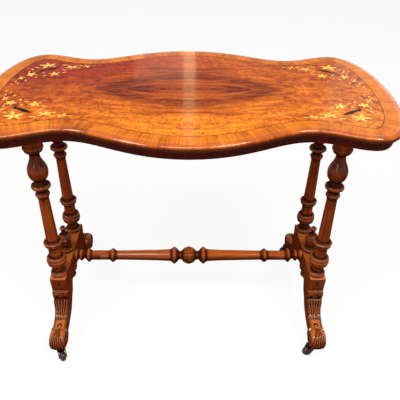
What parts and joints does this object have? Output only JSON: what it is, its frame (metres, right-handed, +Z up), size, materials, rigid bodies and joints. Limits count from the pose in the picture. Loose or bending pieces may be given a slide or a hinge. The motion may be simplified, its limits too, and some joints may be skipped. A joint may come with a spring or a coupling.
{
  "type": "library table",
  "caption": "Serpentine marquetry table on twin turned columns with scroll legs, a turned stretcher and swivel casters.",
  "frame": {"origin": "on the floor under the middle of the top", "axes": "+X along the length of the top, +Y to the back, +Z up"},
  "size_m": [0.976, 0.572, 0.72],
  "materials": {
    "burr_walnut_veneer": "french polished",
    "walnut_crossband": "french polished",
    "walnut_moulding": "french polished",
    "walnut_frieze": "french polished",
    "walnut_turned": "french polished",
    "walnut_carved": "french polished",
    "ebonised_line": "french polished",
    "ebony": "french polished",
    "boxwood": "french polished",
    "ground_pine": "bare planed",
    "beech": "bare turned",
    "brass": "tarnished",
    "steel": "dull",
    "brown_pottery": "dark brown glaze"
  },
  "bodies": {
    "table": {"top_ground": "ground_pine", "crossbanding": "walnut_crossband", "stringing": "ebonised_line", "inlay_boxwood": "boxwood", "inlay_ebony": "ebony", "glue_blocks": "ground_pine", "bearer_screws": "steel", "stretcher": "walnut_turned", "leg_dowels": "beech", "caster_screws": "brass", "veneer_front_left": "burr_walnut_veneer", "column_front_left": "walnut_turned", "leg_front_left": "walnut_carved", "caster_plate_front_left": "brass", "veneer_front_right": "burr_walnut_veneer", "column_front_right": "walnut_turned", "leg_front_right": "walnut_carved", "caster_plate_front_right": "brass", "veneer_back_left": "burr_walnut_veneer", "column_back_left": "walnut_turned", "leg_back_left": "walnut_carved", "caster_plate_back_left": "brass", "veneer_back_right": "burr_walnut_veneer", "column_back_right": "walnut_turned", "leg_back_right": "walnut_carved", "caster_plate_back_right": "brass", "edge_moulding_front": "walnut_moulding", "frieze_front": "walnut_frieze", "edge_moulding_back": "walnut_moulding", "frieze_back": "walnut_frieze", "edge_moulding_left": "walnut_moulding", "frieze_left": "walnut_frieze", "edge_moulding_right": "walnut_moulding", "frieze_right": "walnut_frieze", "bearer_left": "ground_pine", "centre_block_left": "walnut_carved", "finial_left": "walnut_carved", "pendant_left": "walnut_carved", "bearer_right": "ground_pine", "centre_block_right": "walnut_carved", "finial_right": "walnut_carved", "pendant_right": "walnut_carved"},
    "horn_front_left": {"caster_horn_front_left": "brass", "caster_axle_front_left": "steel"},
    "wheel_front_left": {"caster_wheel_front_left": "brown_pottery"},
    "horn_front_right": {"caster_horn_front_right": "brass", "caster_axle_front_right": "steel"},
    "wheel_front_right": {"caster_wheel_front_right": "brown_pottery"},
    "horn_back_left": {"caster_horn_back_left": "brass", "caster_axle_back_left": "steel"},
    "wheel_back_left": {"caster_wheel_back_left": "brown_pottery"},
    "horn_back_right": {"caster_horn_back_right": "brass", "caster_axle_back_right": "steel"},
    "wheel_back_right": {"caster_wheel_back_right": "brown_pottery"}
  },
  "joints": [
    {"name": "swivel_front_left", "type": "hinge", "parent": "table", "child": "horn_front_left", "pos_m": [-0.367, -0.215, 0.035], "axis": [0, 0, 1], "continuous": true},
    {"name": "roll_front_left", "type": "hinge", "parent": "horn_front_left", "child": "wheel_front_left", "pos_m": [-0.35686, -0.23675, 0.015], "axis": [0.9063, 0.4226, 0], "continuous": true},
    {"name": "swivel_front_right", "type": "hinge", "parent": "table", "child": "horn_front_right", "pos_m": [0.367, -0.215, 0.035], "axis": [0, 0, 1], "continuous": true},
    {"name": "roll_front_right", "type": "hinge", "parent": "horn_front_right", "child": "wheel_front_right", "pos_m": [0.34371, -0.22081, 0.015], "axis": [0.2419, -0.9703, 0], "continuous": true},
    {"name": "swivel_back_left", "type": "hinge", "parent": "table", "child": "horn_back_left", "pos_m": [-0.367, 0.215, 0.035], "axis": [0, 0, 1], "continuous": true},
    {"name": "roll_back_left", "type": "hinge", "parent": "horn_back_left", "child": "wheel_back_left", "pos_m": [-0.38778, 0.227, 0.015], "axis": [-0.5, -0.866, 0], "continuous": true},
    {"name": "swivel_back_right", "type": "hinge", "parent": "table", "child": "horn_back_right", "pos_m": [0.367, 0.215, 0.035], "axis": [0, 0, 1], "continuous": true},
    {"name": "roll_back_right", "type": "hinge", "parent": "horn_back_right", "child": "wheel_back_right", "pos_m": [0.343, 0.215, 0.015], "axis": [0, -1, 0], "continuous": true}
  ]
}
